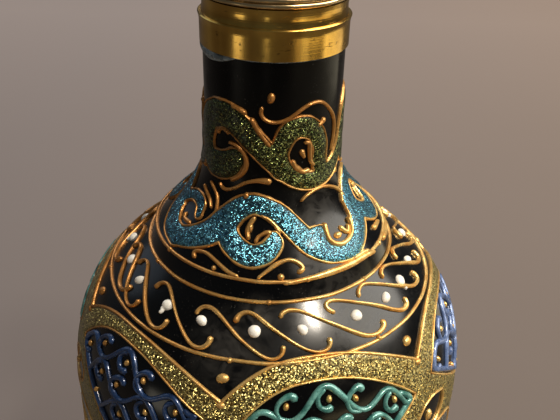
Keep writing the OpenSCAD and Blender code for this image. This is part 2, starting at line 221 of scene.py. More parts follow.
class Strokes:
    """Collects raised strokes of paste on the glass, and makes one mesh of them."""

    def __init__(self):
        self.points, self.faces, self.count = [], [], 0

    def add(self, theta, s, width=1.4, height=0.9, across=9, sink=0.25, steady=0.12, gap=0.55, round_ends=True):
        """A stroke along the path (theta, s). Its section is a flattened dome, width wide and height high, on a
        flat underside that lies sink under the glass. Both sizes may be one number or a row along the path.
        steady is how far the hand strays from the path."""
        theta, s = np.asarray(theta, float), np.asarray(s, float)
        r = radius(s)
        run = np.concatenate([[0], np.cumsum(np.hypot(np.radians(np.diff(theta))*(r[1:] + r[:-1])/2, np.diff(s)))])
        n = max(8, int(run[-1]/gap))
        t = np.linspace(0, run[-1], n)
        share = t/run[-1]
        width, height = along(width, share), along(height, share)
        width = width*(1 + hand(share, 0.14, max(3, int(run[-1]/9))))
        if round_ends:
            e = np.clip(np.minimum(t, run[-1] - t)/(0.5*width), 0, 1)
            e = np.maximum(np.sqrt(1 - (1 - e)**2), 0.08)
            width, height = width*e, height*e
        theta, s = np.interp(t, run, theta), np.interp(t, run, s)
        if steady:
            s = s + hand(share, steady, max(3, int(run[-1]/12)))
        r = radius(s)
        du, ds = np.gradient(np.radians(theta))*r, np.gradient(s)
        size = np.hypot(du, ds) + 1e-9
        x = np.cos(np.linspace(np.pi, 0, across))
        k = np.sqrt(np.clip(1 - x**2, 0, 1))
        th = theta[:, None] - np.degrees(x*(0.5*width*ds/size/r)[:, None])
        sv = s[:, None] + x*(0.5*width*du/size)[:, None]
        hv = k*(height + sink)[:, None] - sink
        self.points.append(on_glass(th, sv, hv).reshape(-1, 3))
        self.faces += grid_faces(n, across, self.count, wrap_m=True).tolist()
        self.faces.append(list(range(self.count, self.count + across))[::-1])
        self.faces.append(list(range(self.count + (n - 1)*across, self.count + n*across)))
        self.count += n*across

    def curve(self, points, **sizes):
        """A stroke along a smooth curve through a few points (theta, s)."""
        c = spline(points, 16*len(points))
        self.add(c[:, 0], c[:, 1], **sizes)

    def blob(self, theta, s, width, tall, height=1.1, turn=0.0, n=20, m=7, rough=0.08):
        """A drop of paste: a flattened half ball, a little uneven round its edge."""
        a = np.linspace(0, 2*np.pi, n, endpoint=False)
        edge = 1 + hand(a/(2*np.pi), rough, 3)
        e = np.linspace(0, np.pi/2, m)[:, None]
        x, y = np.cos(e)*edge*np.cos(a)*width/2, np.cos(e)*edge*np.sin(a)*tall/2
        c, d = math.cos(math.radians(turn)), math.sin(math.radians(turn))
        h = np.repeat(np.sin(e)*(height + 0.25) - 0.25, n, 1)
        p = on_glass(theta + np.degrees((x*c - y*d)/radius(s)), s + x*d + y*c, h)[:-1].reshape(-1, 3)
        self.points.append(np.concatenate([p, on_glass(theta, s, height)[None]]))
        self.faces += grid_faces(m - 1, n, self.count, wrap_m=True)[:, ::-1].tolist()
        last, ring_at = self.count + (m - 1)*n, self.count + (m - 2)*n
        self.faces += [[last, ring_at + (i + 1) % n, ring_at + i] for i in range(n)]
        self.faces.append(list(range(self.count, self.count + n)))
        self.count += len(p) + 1

    def piece(self, name, finish, slot, replaces=()):
        obj = mesh_piece(name, np.concatenate(self.points), self.faces, finish)
        if replaces:
            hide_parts(*replaces)
        return obj


class Field:
    """A grid of points on the glass, each with its distance in mm from the edge of a drawn shape, negative inside."""

    def __init__(self, s0, s1, step):
        self.theta = np.linspace(-180, 180, int(2*np.pi*radius((s0 + s1)/2)/step), endpoint=False)
        self.s = np.linspace(s0, s1, int((s1 - s0)/step) + 1)
        self.th, self.sv = np.meshgrid(self.theta, self.s, indexing="ij")
        self.r = radius(self.sv)
        self.d = np.full(self.th.shape, 99.0)

    def band(self, points, width, blend=0.8, turns=(-360, 0, 360)):
        """Joins on a band along a smooth curve through the points: distance from the curve less half the width.
        Where two bands meet, the corner between them is filled as paste fills it."""
        c = spline(points, 12*len(points))
        w = along(width, np.linspace(0, 1, len(c)))/2
        reach = w.max() + 3
        rows = np.where((self.s > c[:, 1].min() - reach) & (self.s < c[:, 1].max() + reach))[0]
        for turn in turns:
            wide = np.degrees(reach/self.r.min())
            cols = np.where((self.theta + turn > c[:, 0].min() - wide) & (self.theta + turn < c[:, 0].max() + wide))[0]
            if not len(cols):
                continue
            spot = np.ix_(cols, rows)
            th, sv, r = self.th[spot] + turn, self.sv[spot], self.r[spot]
            best = np.full(th.shape, 99.0)
            for (t0, s0), (t1, s1), w0, w1 in zip(c[:-1], c[1:], w[:-1], w[1:]):
                x, y = np.radians(th - t0)*r, sv - s0
                dx, dy = np.radians(t1 - t0)*r, s1 - s0
                k = np.clip((x*dx + y*dy)/(dx*dx + dy*dy + 1e-9), 0, 1)
                best = np.minimum(best, np.hypot(x - k*dx, y - k*dy) - (w0 + (w1 - w0)*k))
            old = self.d[spot]
            k = np.clip(0.5 + 0.5*(old - best)/blend, 0, 1)
            self.d[spot] = old*(1 - k) + best*k - blend*k*(1 - k)

    def closed(self, name, finish, height, keep):
        """A closed mesh of the faces that have a corner kept: the surface that stands height over the glass, the
        same faces turned over 0.5 mm under the glass, and a wall where the surface ends. Where two faces meet
        only at a corner, a face is put between them."""
        n, m = self.th.shape
        over = on_glass(self.th, self.sv, height).reshape(-1, 3)
        under = on_glass(self.th, self.sv, -0.5).reshape(-1, 3)
        f = grid_faces(n, m, wrap_n=True)
        on = keep.reshape(-1)[f].any(1).reshape(n, m - 1)
        for _ in range(6):
            back = np.roll(on, 1, 0)
            falling = back[:, :-1] & on[:, 1:] & ~back[:, 1:] & ~on[:, :-1]
            rising = back[:, 1:] & on[:, :-1] & ~back[:, :-1] & ~on[:, 1:]
            on[:, :-1] |= falling
            on[:, 1:] |= rising
        f = f[on.reshape(-1)]
        used, f = np.unique(f, return_inverse=True)
        f = f.reshape(-1, 4)
        edges = np.concatenate([f[:, [k, (k + 1) % 4]] for k in range(4)])
        _, first, times = np.unique(np.sort(edges, 1), axis=0, return_index=True, return_counts=True)
        a, b = edges[first[times == 1]].T
        walls = np.stack([b, a, a + len(used), b + len(used)], 1)
        faces = np.concatenate([f, f[:, ::-1] + len(used), walls])
        return mesh_piece(name, np.concatenate([over[used], under[used]]), faces, finish)

    def fill(self, name, finish, slot, height=0.8, soft=2.6):
        """The filled inside of the shape: it rises from the edge as a quarter ellipse, soft wide, to a flat top."""
        inside = np.clip(-self.d/soft, 0, 1)
        h = height*np.sqrt(1 - (1 - inside)**2)
        h = h*(1 + 0.12*np.sin(np.radians(self.th)*17 + 0.5*self.sv)*np.sin(np.radians(self.th)*7 - 0.33*self.sv))
        return self.closed(name, finish, np.where(self.d > 0, -0.3, h), self.d < 0)

    def edge(self, name, finish, slot, width=1.3, height=1.0):
        """A line of paste along the shape's edge, half an ellipse in section, whose width wavers."""
        w = width/2*(1 + 0.18*np.sin(np.radians(self.th)*31 + self.sv*0.9)
                     + 0.14*np.sin(np.radians(self.th)*13 - self.sv*0.5))
        x = np.clip(np.abs(self.d)/w, 0, 1)
        return self.closed(name, finish, (height + 0.3)*np.sqrt(1 - x*x) - 0.3, np.abs(self.d) < w)


def inside_of(outline, th, s):
    """Distance in mm from a closed outline, negative inside: the smallest distance from its sides, and the side
    is told by counting the crossings of a level line."""
    best, odd = np.full(th.shape, 99.0), np.zeros(th.shape, bool)
    r = radius(s)
    for (t0, s0), (t1, s1) in zip(outline, np.roll(outline, -1, 0)):
        x, y = np.radians(th - t0)*r, s - s0
        dx, dy = np.radians(t1 - t0)*r, s1 - s0
        k = np.clip((x*dx + y*dy)/(dx*dx + dy*dy + 1e-9), 0, 1)
        best = np.minimum(best, np.hypot(x - k*dx, y - k*dy))
        crosses = (s0 > s) != (s1 > s)
        odd ^= crosses & (th < t0 + (t1 - t0)*(s - s0)/np.where(s1 == s0, 1, s1 - s0))
    return np.where(odd, -best, best)


def cut(field, outline, keep=False):
    """Cuts a closed outline out of a field, or with keep joins it on."""
    lo, hi = outline[:, 0].min() - 3, outline[:, 0].max() + 3
    for turn in (-360, 0, 360):
        cols = np.where((field.theta + turn > lo) & (field.theta + turn < hi))[0]
        if len(cols):
            d = inside_of(outline, field.th[cols] + turn, field.sv[cols])
            field.d[cols] = np.minimum(field.d[cols], d) if keep else np.maximum(field.d[cols], -d)


# --- finishes ---

class Finish:
    """A finish made of shader nodes. Its patterns lie on Object coordinates, so they are fixed to the piece."""

    def __init__(self, name, **fixed):
        self.mat = bpy.data.materials.new(name)
        self.mat.use_nodes = True
        self.tree = self.mat.node_tree
        self.shader = self.tree.nodes["Principled BSDF"]
        for key, value in fixed.items():
            self.shader.inputs[key.replace("_", " ")].default_value = value
        self.place = self.tree.nodes.new("ShaderNodeTexCoord").outputs["Object"]

    def node(self, kind, **settings):
        new = self.tree.nodes.new("ShaderNode" + kind)
        for key, value in settings.items():
            setattr(new, key, value)
        return new

    def plug(self, value, socket):
        """Sets a socket to a number or colour, or links an output to it."""
        if isinstance(value, bpy.types.NodeSocket):
            self.tree.links.new(value, socket)
        else:
            socket.default_value = value

    def to(self, **sockets):
        """Links outputs to the shader's own sockets."""
        for key, value in sockets.items():
            self.plug(value, self.shader.inputs[key.replace("_", " ")])
        return self

    def stretched(self, x, y, z):
        """The place on the piece, squeezed or drawn out along each axis."""
        new = self.node("Mapping")
        self.plug(self.place, new.inputs["Vector"])
        new.inputs["Scale"].default_value = (x, y, z)
        return new.outputs["Vector"]

    def cloud(self, scale, detail=3.0, low=0.4, high=0.6, at=None, twist=0.0):
        """Cloudy noise, 0 where it is under low and 1 where it is over high. scale is in spots per metre."""
        new = self.node("TexNoise")
        self.plug(at or self.place, new.inputs["Vector"])
        new.inputs["Scale"].default_value = scale
        new.inputs["Detail"].default_value = detail
        new.inputs["Distortion"].default_value = twist
        return self.ranged(new.outputs["Fac"], low, high)

    def ranged(self, value, low, high, start=0.0, end=1.0):
        new = self.node("MapRange")
        self.plug(value, new.inputs["Value"])
        for key, number in (("From Min", low), ("From Max", high), ("To Min", start), ("To Max", end)):
            new.inputs[key].default_value = number
        return new.outputs["Result"]

    def spot(self, centre, size):
        """1 at a point given in mm, falling smoothly to 0 at size mm from it."""
        new = self.node("VectorMath", operation="DISTANCE")
        self.plug(self.place, new.inputs[0])
        new.inputs[1].default_value = tuple(centre*MM)
        return self.ranged(new.outputs["Value"], size*MM, 0.2*size*MM)

    def slope(self, x, z, low, high):
        """A smooth rise across the piece: 0 where x and z times the place in mm add up to low, 1 at high."""
        new = self.node("VectorMath", operation="DOT_PRODUCT")
        self.plug(self.place, new.inputs[0])
        new.inputs[1].default_value = (x, 0, z)
        return self.ranged(new.outputs["Value"], low*MM, high*MM)

    def grains(self, scale, at=None):
        """Cells like packed grains: one random number per cell, a second one, the cell's colour and the distance
        from its middle."""
        new = self.node("TexVoronoi")
        self.plug(at or self.place, new.inputs["Vector"])
        new.inputs["Scale"].default_value = scale
        parts = self.node("SeparateColor")
        self.plug(new.outputs["Color"], parts.inputs[0])
        return parts.outputs[0], parts.outputs[1], new.outputs["Color"], new.outputs["Distance"]

    def math(self, operation, a, b=0.0):
        new = self.node("Math", operation=operation)
        self.plug(a, new.inputs[0])
        self.plug(b, new.inputs[1])
        return new.outputs[0]

    def mix(self, share, a, b):
        """Colour a where share is 0 and b where it is 1."""
        new = self.node("Mix", data_type="RGBA")
        self.plug(share, new.inputs["Factor"])
        for value, socket in ((a, new.inputs[6]), (b, new.inputs[7])):
            self.plug((*value, 1) if isinstance(value, tuple) else value, socket)
        return new.outputs[2]

    def bumps(self, height, deep, strength=1.0, over=None):
        """Normals of a relief, deep metres from its lowest to its highest place."""
        new = self.node("Bump")
        self.plug(height, new.inputs["Height"])
        new.inputs["Distance"].default_value = deep
        new.inputs["Strength"].default_value = strength
        if over:
            self.plug(over, new.inputs["Normal"])
        return new.outputs["Normal"]


def black_glass():
    """Black glass with a little waviness from blowing, smudges, round water marks, fine dust and, in a few places
    round the highlights, a wiped layer of grease whose faint grey is partly a painted haze of sheen. Up the neck it
    shines less."""
    f = Finish("black_glass", IOR=1.27, Coat_Roughness=0.17, Coat_IOR=1.31)
    smudge = f.cloud(24, 4, 0.48, 0.66, twist=0.6)
    pick, _, _, far = f.grains(62)
    marks = f.math("MULTIPLY", f.ranged(far, 0.36, 0.24), f.ranged(pick, 0.70, 0.80))
    wiped = f.cloud(170, 5, 0.34, 0.60, twist=1.2)
    grease_and_painted_haze = 0.0
    for theta, s, size in ((33, 52, 12), (22, 68, 9), (30, 88, 24), (-4, 84, 9), (-12, 95, 16)):
        grease_and_painted_haze = f.math("MAXIMUM", grease_and_painted_haze, f.math("MULTIPLY", f.spot(on_glass(theta, s), size), wiped))
    worn = f.math("MAXIMUM", f.math("MULTIPLY", smudge, 0.8), f.math("MAXIMUM", f.math("MULTIPLY", marks, 0.6), grease_and_painted_haze))
    dust = f.math("MULTIPLY", f.cloud(2100, 2, 0.68, 0.76), f.cloud(70, 3, 0.42, 0.7))
    # Base colour: grey dust, and in the grease spots a faint grey that is partly a painted haze of sheen.
    dust_and_painted_haze = f.math("MAXIMUM", f.math("MULTIPLY", dust, 0.5), f.math("MULTIPLY", grease_and_painted_haze, 0.09))
    f.to(Base_Color=f.mix(dust_and_painted_haze, (0.0007, 0.0006, 0.0006), (0.30, 0.28, 0.25)))
    f.to(Roughness=f.ranged(worn, 0, 1, 0.16, 0.50))
    f.to(Coat_Weight=f.slope(0, -1, -198, -176))
    f.to(Normal=f.bumps(f.cloud(34, 1, 0.2, 0.8), 0.0005, 0.25))
    return f.mat


def paste(name, light, dark, metal, rough=0.34, painted_shade_tone=None):
    """Dried relief paste: two tones in patches, a grainy skin with a few pits. On the neck and at the left it may
    be darkened to a third tone, a painted shade where less light falls."""
    f = Finish(name, Metallic=metal)
    patch = f.cloud(190, 4, 0.36, 0.62)
    grain = f.cloud(1700, 2, 0.3, 0.7)
    pits = f.ranged(f.grains(800)[3], 0.12, 0.2)
    tone = f.math("MULTIPLY", f.math("ADD", f.math("MULTIPLY", patch, 0.75), f.math("MULTIPLY", grain, 0.25)), pits)
    colour = f.mix(tone, dark, light)
    # Painted shade: towards the neck and the left the colour darkens to the third tone.
    if painted_shade_tone:
        colour = f.mix(f.slope(-1.0, 1.0, 150, 210), colour, painted_shade_tone)
    f.to(Base_Color=colour)
    f.to(Roughness=f.ranged(tone, 0, 1, rough + 0.14, rough - 0.04))
    f.to(Normal=f.bumps(f.math("ADD", f.math("MULTIPLY", grain, 0.4), patch), 0.00012, 0.6))
    return f.mat


def glitter(name, gel, middle, bright, scale=2500.0, part=2.6, metal=0.9, rough=0.27, lean=0.95, left=1.0):
    """Glitter in clear gel: grains of three tones, each tilted its own way, under a smooth coat. left is the share
    of bright grains kept at the left, a painted shade where less light falls."""
    f = Finish(name, Metallic=metal, Roughness=rough, Coat_Weight=0.4, Coat_Roughness=0.30)
    one, two, tint, far = f.grains(scale)
    deep = f.mix(f.ranged(two, 0.25, 0.75), gel, middle)
    # Painted shade: fewer bright grains towards the left.
    painted_shade_at_left = f.ranged(f.slope(1, 0, -30, 25), 0, 1, left, 1.0)
    f.to(Base_Color=f.mix(f.math("MULTIPLY", f.math("POWER", one, part), painted_shade_at_left), deep, bright))
    centred = f.node("VectorMath", operation="SUBTRACT")
    f.plug(tint, centred.inputs[0])
    centred.inputs[1].default_value = (0.5, 0.5, 0.5)
    tilt = f.node("VectorMath", operation="SCALE")
    f.plug(centred.outputs[0], tilt.inputs[0])
    tilt.inputs["Scale"].default_value = lean
    both = f.node("VectorMath", operation="ADD")
    f.plug(tilt.outputs[0], both.inputs[0])
    f.plug(f.bumps(f.math("ADD", f.cloud(420, 2, 0.3, 0.7), f.math("MULTIPLY", far, 0.5)), 0.0003, 0.7),
           both.inputs[1])
    whole = f.node("VectorMath", operation="NORMALIZE")
    f.plug(both.outputs[0], whole.inputs[0])
    f.to(Normal=whole.outputs[0])
    return f.mat


def enamel(name, thin, thick):
    """Glossy relief enamel that pools darker and lighter, with a pearly grain."""
    f = Finish(name, Metallic=0.25, Coat_Weight=0.8, Coat_Roughness=0.08)
    pool = f.cloud(260, 3, 0.34, 0.64)
    grain = f.cloud(1900, 2, 0.3, 0.7)
    tone = f.math("ADD", f.math("MULTIPLY", pool, 0.8), f.math("MULTIPLY", grain, 0.2))
    f.to(Base_Color=f.mix(tone, thin, thick))
    f.to(Roughness=f.ranged(grain, 0, 1, 0.22, 0.38))
    f.to(Normal=f.bumps(pool, 0.00015, 0.6))
    return f.mat


def brass(name, bright, dull, rough=0.17, streaks=0.5):
    """Spun brass: tone in upright streaks, fine lathe lines round the axis, small scratches, brown tarnish spots
    and a tarnish cloud."""
    f = Finish(name, Metallic=1.0)
    upright = f.cloud(120, 3, 0.36, 0.62, at=f.stretched(1, 1, 0.04))
    lathe = f.cloud(900, 2, 0.2, 0.8, at=f.stretched(0.02, 0.02, 3))
    pick, _, _, far = f.grains(420)
    spots = f.math("MULTIPLY", f.ranged(far, 0.26, 0.10), f.ranged(pick, 0.88, 0.94, 0, 0.7))
    scratch = f.cloud(300, 2, 0.69, 0.72, at=f.stretched(1.0, 0.35, 4.5), twist=1.2)
    cloud = f.cloud(75, 4, 0.45, 0.75)
    dirt = f.math("MAXIMUM", f.math("MULTIPLY", cloud, 0.45), f.math("MAXIMUM", spots, f.math("MULTIPLY", scratch, 0.7)))
    clean = f.mix(f.math("MULTIPLY", upright, streaks), bright, dull)
    f.to(Base_Color=f.mix(dirt, clean, (0.16, 0.085, 0.03)))
    f.to(Roughness=f.math("ADD", f.ranged(cloud, 0, 1, rough, rough + 0.1), f.math("MULTIPLY", spots, 0.25)))
    f.to(Normal=f.bumps(f.math("SUBTRACT", f.math("MULTIPLY", lathe, 0.5), f.math("MAXIMUM", spots, scratch)), 0.00004, 0.5))
    return f.mat


def steel():
    """Plain turned steel with lathe lines and a dull cloud."""
    f = Finish("rod_steel", Metallic=1.0)
    cloud = f.cloud(160, 4, 0.35, 0.7)
    f.to(Base_Color=f.mix(cloud, (0.60, 0.60, 0.62), (0.36, 0.35, 0.34)))
    f.to(Roughness=f.ranged(cloud, 0, 1, 0.28, 0.5))
    f.to(Normal=f.bumps(f.cloud(2600, 2, 0.2, 0.8, at=f.stretched(0.05, 0.05, 1)), 0.00003, 0.5))
    return f.mat


def cement():
    """Clear cement, slightly milky, with tiny bubbles."""
    f = Finish("clear_cement", Transmission_Weight=0.6, IOR=1.5)
    milk = f.cloud(300, 3, 0.4, 0.7)
    bubbles = f.ranged(f.grains(1100)[3], 0.3, 0.2)
    f.to(Base_Color=f.mix(milk, (0.40, 0.48, 0.52), (0.10, 0.13, 0.145)))
    f.to(Roughness=f.ranged(milk, 0, 1, 0.12, 0.28))
    f.to(Normal=f.bumps(bubbles, 0.0001, 0.4))
    return f.mat


def rubber():
    f = Finish("seal_rubber")
    bloom = f.cloud(400, 4, 0.4, 0.7)
    f.to(Base_Color=f.mix(bloom, (0.018, 0.018, 0.018), (0.06, 0.058, 0.055)))
    f.to(Roughness=f.ranged(bloom, 0, 1, 0.55, 0.75))
    f.to(Normal=f.bumps(f.cloud(2500, 2), 0.00004, 0.6))
    return f.mat


GLASS = black_glass()
# The gold paste's last colour is a painted shade for the neck and the left.
GOLD = paste("gold_paste", (1.0, 0.69, 0.25), (0.58, 0.28, 0.065), 0.64, 0.27, (0.38, 0.165, 0.04))
WHITE = paste("white_paste", (0.92, 0.90, 0.84), (0.74, 0.70, 0.62), 0.0, 0.30)
# left= below darkens each glitter towards the left, a painted shade.
GREEN = glitter("green_glitter", (0.003, 0.007, 0.002), (0.020, 0.034, 0.005), (0.80, 0.90, 0.32), 2800.0, 4.4, lean=1.1, left=0.1)
BLUE = glitter("blue_glitter", (0.002, 0.013, 0.030), (0.003, 0.070, 0.14), (0.30, 0.81, 1.0), 2900.0, 2.1, left=0.5)
SPARK = glitter("gold_glitter", (0.012, 0.007, 0.002), (0.36, 0.21, 0.028), (1.0, 0.87, 0.34), 2600.0, 1.9, 0.80, 0.30, 1.6, left=0.6)
SILVER = glitter("silver_glitter", (0.10, 0.09, 0.07), (0.36, 0.33, 0.27), (0.95, 0.93, 0.86), 2600.0, 1.8)
NAVY = enamel("navy_enamel", (0.005, 0.015, 0.050), (0.017, 0.050, 0.150))
MINT = enamel("mint_enamel", (0.02, 0.13, 0.115), (0.17, 0.42, 0.38))
VIOLET = enamel("violet_enamel", (0.05, 0.09, 0.22), (0.17, 0.25, 0.48))
BRASS = brass("collar_brass", (0.88, 0.57, 0.13), (0.46, 0.25, 0.05), streaks=0.75)
PALE = brass("cap_brass", (0.90, 0.70, 0.40), (0.58, 0.38, 0.15), 0.20, 0.6)
STEEL = steel()
CEMENT = cement()
RUBBER = rubber()

FINISH = {"neck_collar": BRASS, "collar_cement": CEMENT, "disc_line": GOLD, "step_line": GOLD,
          "border_line": GOLD, "foot_lines": GOLD, "white_dots": WHITE, "gold_dots": GOLD,
          "cap_seal": RUBBER, "stopper_cap": PALE, "rod_washer": STEEL, "rod_nut": STEEL, "tie_rod": STEEL,
          "stopper_dome": BRASS, "dome_ring": PALE, "finial_spool": BRASS, "finial_ball": PALE,
          "finial_tip": BRASS, "glass_vessel": GLASS}
for name, mat in FINISH.items():
    for place in nodes[name].material_slots:
        place.material = mat

# --- the glass ---

inside = inner_outline()
rim = np.array([[NECK_R - RIM_ROUND, Z_RIM], [NECK_R - GLASS_T + RIM_ROUND, Z_RIM]])
edge_of_rim = arc(NECK_R - RIM_ROUND, Z_RIM - RIM_ROUND, RIM_ROUND, 0, 90, 6)[1:-1]
glass = turned("black_glass_body", np.concatenate([OUTLINE[::-1], edge_of_rim, rim, inside]), GLASS)
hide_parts("glass_vessel")

S_DISC, S_STEP, S_BORDER, S_WALL = down(Z_DISC), down(Z_STEP), down(Z_STEP - 12.1), down(Z_WALL)
S_FOOT_TOP, S_FOOT_LOW = down(46), down(26)

gold, white = Strokes(), Strokes()
enamels = {"navy": Strokes(), "mint": Strokes(), "violet": Strokes()}

# --- the shoulder border: 21 S strokes and 21 white drops between two ring lines ---

# How far each S strays in degrees, its width, its height and where it starts, in mm, for those a hand made uneven
S_HAND = {-4: (-2.0, 27, 13.4, 82.6), -3: (-6.0, 29, 13.8, 82.6), -2: (-4.7, 28, 13.6, 82.6), -1: (0.6, 29.6, 13.4, 82.6),
          0: (-1.2, 29.6, 13.2, 82.4)}
# The five at the right are longer and steeper: (theta, s) along each
S_RIGHT = {1: [(4.4, 84), (5.5, 82.2), (8.5, 81.4), (12.7, 82.2), (18.7, 85.2), (24.1, 88.3), (29.2, 91.9), (34, 95.1),
               (38.4, 96), (41.9, 94.8), (42.3, 92.7)],
           2: [(26, 85), (23.4, 82.9), (23.4, 81.3), (26.5, 80.8), (32.2, 82.4), (38.6, 85.3), (44.7, 88.9), (49.1, 92.4),
               (53.1, 94.7), (56.4, 94.5), (57.7, 92.1)],
           3: [(38.7, 83.3), (39.6, 81.3), (42.7, 80.1), (46.4, 80.8), (53.8, 84.5), (60.8, 89.2), (66.2, 92.8),
               (70.8, 93.8), (72.6, 92.2), (71.9, 90.1)],
           4: [(55.5, 82.8), (56.5, 80.7), (60.8, 80.2), (67.6, 82.8), (75.5, 87.8), (81.7, 92.7), (85.4, 93.7),
               (87.1, 92), (87, 90.4)],
           5: [(72.3, 83.5), (73, 81.2), (77, 80.6), (85.3, 84.8), (92.5, 90.5), (98, 93.8), (101, 93.4), (101.6, 91.4)]}
DROP_STRAYS = [0, -0.3, 4.3, 3.2, -1.2, -3.1, 0.5, 1, -1, 0.4, -0.8, 1.2, 0, -1.4, 0.6, 1, -0.5, -1, -3.2, -1, -2.3]


def s_stroke(theta, s, wide, tall, flip=1):
    """One S: its direction is level + 33 degrees at the middle and turns back by 148 degrees times the distance
    from the middle to the power 4.2, so that both ends curl the same way round, and end in a bulb."""
    t = np.linspace(-1, 1, 81)
    head = np.radians(33 - 148*np.abs(t)**4.2)
    x, y = np.cumsum(np.cos(head)), np.cumsum(np.sin(head))
    x, y = (x - x[0])*wide/np.ptp(x), (y - y.min())*tall/np.ptp(y)
    r = radius(s + tall/2)
    thick = 1.25 + 0.25*np.sin(3*t + RNG.uniform(0, 6)) + 1.15*np.abs(t)**9*np.where(t > 0, 1, RNG.uniform(0.2, 1))
    gold.add(theta + flip*np.degrees(x/r), s + y, width=thick, height=0.65 + 0.35*thick, steady=0.3)


for k in range(21):
    turn = k if k < 11 else k - 21
    if turn in S_RIGHT:
        gold.curve(S_RIGHT[turn], width=(1.7, 1.5, 1.2, 1.2, 1.3, 1.5, 1.5, 1.7, 2.6), height=1.1, steady=0.12)
    else:
        stray, wide, tall, top = S_HAND.get(turn, (1.2*math.sin(2.1*k), 30 + 2*math.sin(1.7*k), 13.2, 82.6))
        s_stroke(-10.5 + 17.143*turn + stray, top + 0.4*math.sin(2.3*k), wide, tall)
    at = -4.7 + 17.143*k + DROP_STRAYS[k]
    white.blob(at, 87.9, 4.3 + 0.4*math.sin(5*k), 3.6 + 0.4*math.cos(3*k), 1.3, turn=40*math.sin(1.3*k), rough=0.16)
    if k % 3 == 1 and k > 1:
        white.curve([(at - 1, 88.5), (at - 0.6, 90.4), (at - 1.2, 91.6)], width=(2.8, 1.0), height=0.8)


def ring(s, width, height, first=-180, nodules=5):
    """A ring line whose two ends overlap a little at the back, with a few nodules where the paste stopped."""
    th = np.linspace(first, first + 361, 721)
    gold.add(th, np.full(721, s), width=width, height=height, steady=0.35)
    for t in first + 360*(np.arange(nodules) + RNG.uniform(0, 0.8, nodules))/max(nodules, 1):
        gold.blob(t, s + RNG.uniform(-0.2, 0.2), 2.1, 1.9, height + 0.45, n=12, m=5)


# --- the neck: one long glitter scroll ---

# Distances down the neck in mm at angles in degrees. The first wave's crest is at -48, and the others are
# narrower copies of it
NECK_WAVE = [(-48, 19.3), (-37, 19), (-26, 21.4), (-14, 25.8), (-1, 31.4), (8, 35.2), (22, 39.2), (37, 40.6), (55, 39),
             (67, 35), (76, 28), (83, 22), (92, 19.3)]
NECK_HOOK = [(-48, 19.3), (-59, 21.5), (-65.5, 27), (-65, 33), (-58, 36.6), (-47, 37), (-37, 35.6), (-30, 32.8)]
NECK_LOOP = [(8, 35.6), (6, 30), (9, 25.5), (15, 22), (26, 21.2), (36, 24), (41.5, 29), (41.5, 34), (45, 39)]
NECK_TURNS = [(-48, 1.0), (92, 0.786), (202, 0.786)]
NECK_GOLD = [
    ([(-7.9, 14), (-8.8, 16.4), (-4.9, 18.4), (2.8, 19.1), (12.3, 18), (22.1, 15.5), (30.6, 14), (40.4, 14.2),
      (49.8, 17.1), (57.6, 21.5), (59.5, 27), (56.1, 32.8)], (1.7, 1.5, 1.4, 1.6, 1.6, 1.4, 0.9), 0.95),
    ([(-43.7, 43), (-41.4, 44.4), (-35.9, 44.7), (-28.3, 43.1), (-20.2, 40.7), (-10.1, 39.4), (0.9, 39.5)],
     (1.2, 1.5, 1.5, 1.6, 2.0, 2.9), 1.2),
    ([(-48.6, 26.6), (-46, 24.4), (-40, 23.8), (-34.3, 25)], (2.4, 2.2, 2.6), 1.2),
    ([(-36.4, 27.8), (-28.5, 28.2), (-22.2, 30.5), (-20.4, 34), (-24.5, 38), (-34, 41.2)],
     (1.6, 1.9, 2.3, 2.4, 1.9), 1.3),
    ([(-33.6, 15.1), (-26, 15.8), (-19.7, 17.2)], (1.6, 2.2), 1.4),
    ([(-16.6, 18), (-9.6, 22.7), (-0.7, 27.4)], (1.8, 2.3, 1.9), 1.5),
    ([(36.5, 21.9), (41, 21.2), (45.5, 19.8)], (1.4, 2.6), 1.3),
    ([(16.4, 32), (19, 34.6), (25.5, 36.8), (32.5, 36.4)], (1.8, 2.5, 2.5, 2.0), 1.3),
    ([(25.5, 26.6), (30.6, 27), (31.4, 30.2), (32.2, 33.4), (36.5, 35.5)], (1.6, 2.1, 1.8, 1.7), 1.3),
    ([(24, 28.8), (24.8, 30.2), (27, 32)], (2.6, 1.5), 1.2),
    ([(71, 33.5), (66.5, 38), (62.7, 42.4)], (1.2, 1.6), 1.0)]
NECK_DROPS = [(-1.4, 11.4, 2.4, 3.7)]


def squeezed(points, base, first, share):
    """The points of one wave, placed from first on and share as wide."""
    return [(first + share*(a - base), b) for a, b in points]


def neck_scroll(step):
    field = Field(5, 47, step)
    for first, share in NECK_TURNS:
        field.band(squeezed(NECK_WAVE, -48, first, share), (9.2, 9.2, 8.6, 8.2, 7.2, 6.4, 6.2, 6.2, 6.2, 6.0, 5.6, 6.4, 9.2))
        field.band(squeezed(NECK_HOOK, -48, first, share), np.array([9, 9.2, 9.6, 9.8, 9.8, 10, 9.4, 7])*share**0.6)
        field.band(squeezed(NECK_LOOP, -48, first, share), (6.5, 5.6, 6.0, 7.2, 7.2, 6.2, 6.0, 6.0, 6.0))
    return field


for first, share in NECK_TURNS:
    for points, width, height in NECK_GOLD[first > 200:]:
        gold.curve(squeezed(points, -48, first, share), width=0.86*np.array(width), height=0.85*height, steady=0.08)
    for a, s, wide, tall in NECK_DROPS:
        gold.blob(first + share*(a + 48), s, wide, tall, 1.2, turn=12)
neck_scroll(0.32).fill("neck_scroll_glitter", GREEN, "green_glitter", height=1.1)
neck_scroll(0.2).edge("neck_scroll_edge", GOLD, "gold_paste", width=0.85, height=0.8)

# --- the flare: a wave of blue glitter that rolls round it ---

